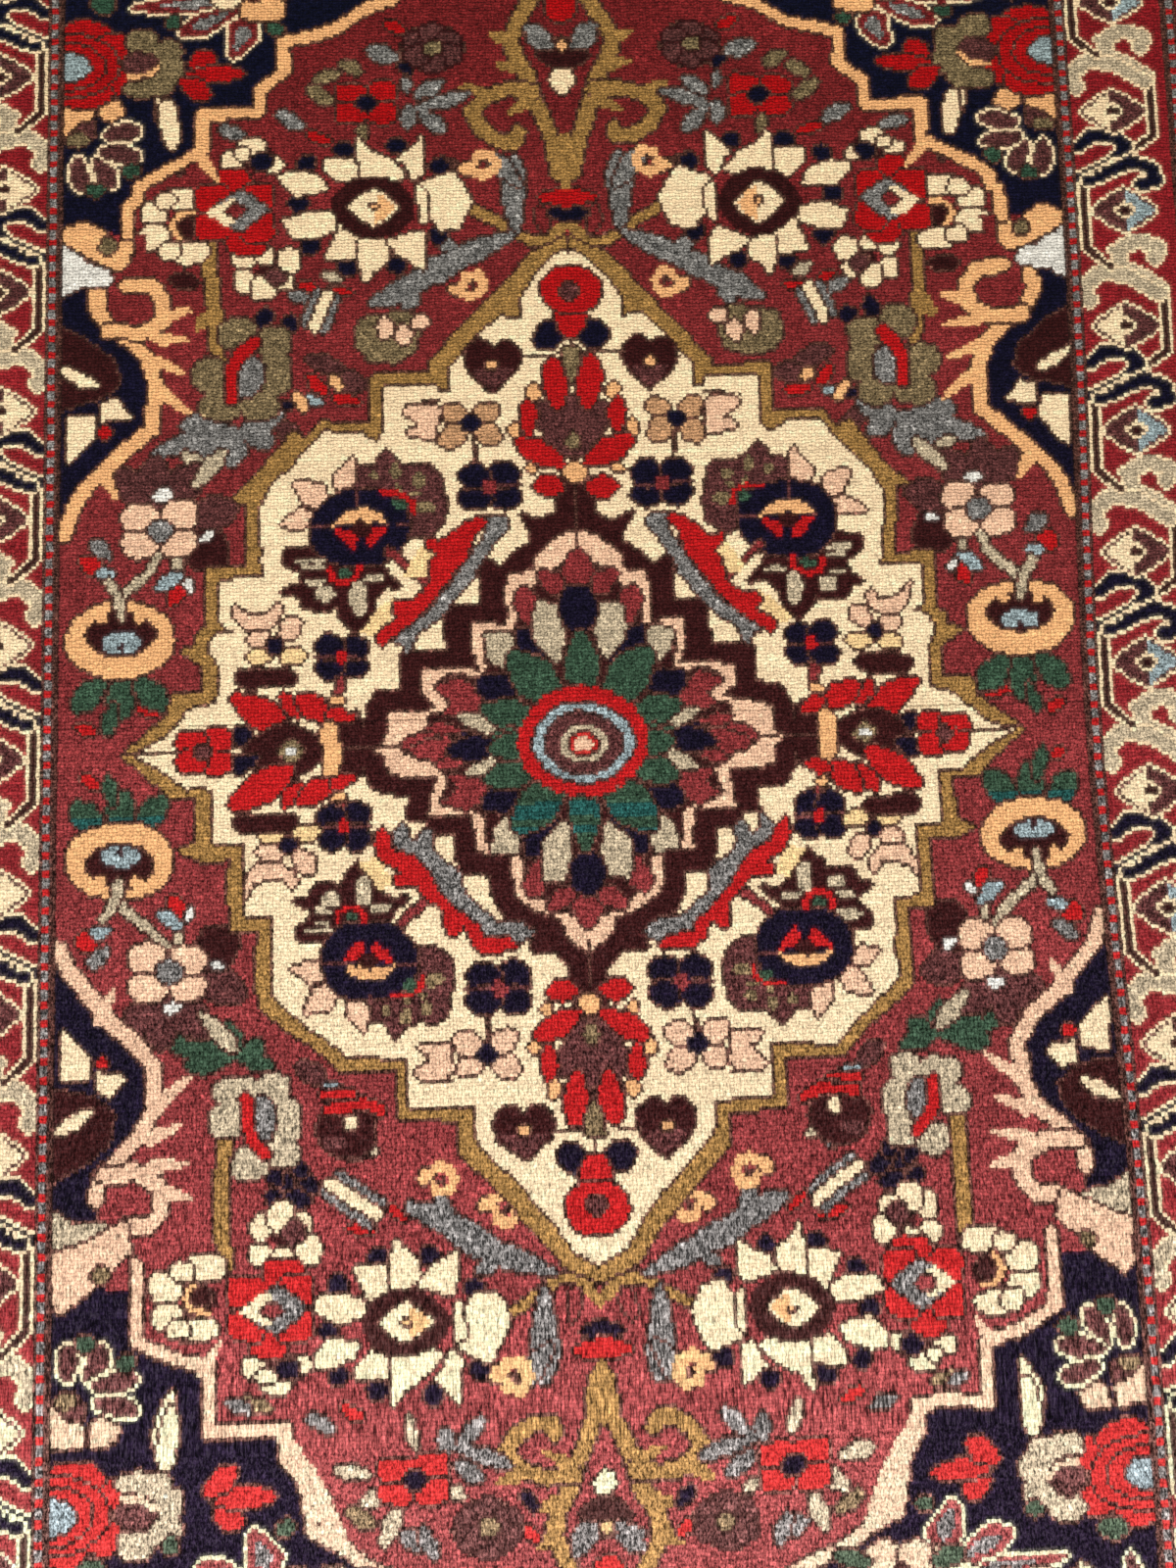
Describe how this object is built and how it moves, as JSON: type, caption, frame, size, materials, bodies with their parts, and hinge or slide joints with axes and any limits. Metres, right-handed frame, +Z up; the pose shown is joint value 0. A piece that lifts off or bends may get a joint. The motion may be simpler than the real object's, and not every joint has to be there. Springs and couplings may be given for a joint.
{
  "type": "hand-knotted persian rug",
  "caption": "Rectangular hand-knotted wool rug with a centre medallion, patterned borders and overcast side cords; lies flat on a floor.",
  "frame": {"origin": "centre of the rug's underside, under the centre of the medallion", "axes": "+X across the width, +Y along the length towards the end that is upper in the picture, +Z up out of the pile"},
  "size_m": [0.967, 1.4164, 0.009],
  "materials": {
    "pile_wool": "short wool pile, matt with a slight sheen along the nap",
    "cord_wool": "wool yarn, overcast",
    "woven_cotton": "plain flat weave"
  },
  "bodies": {
    "root": {"rug_cloth": "pile_wool", "side_cord_left": "cord_wool", "side_cord_right": "cord_wool"}
  },
  "joints": []
}
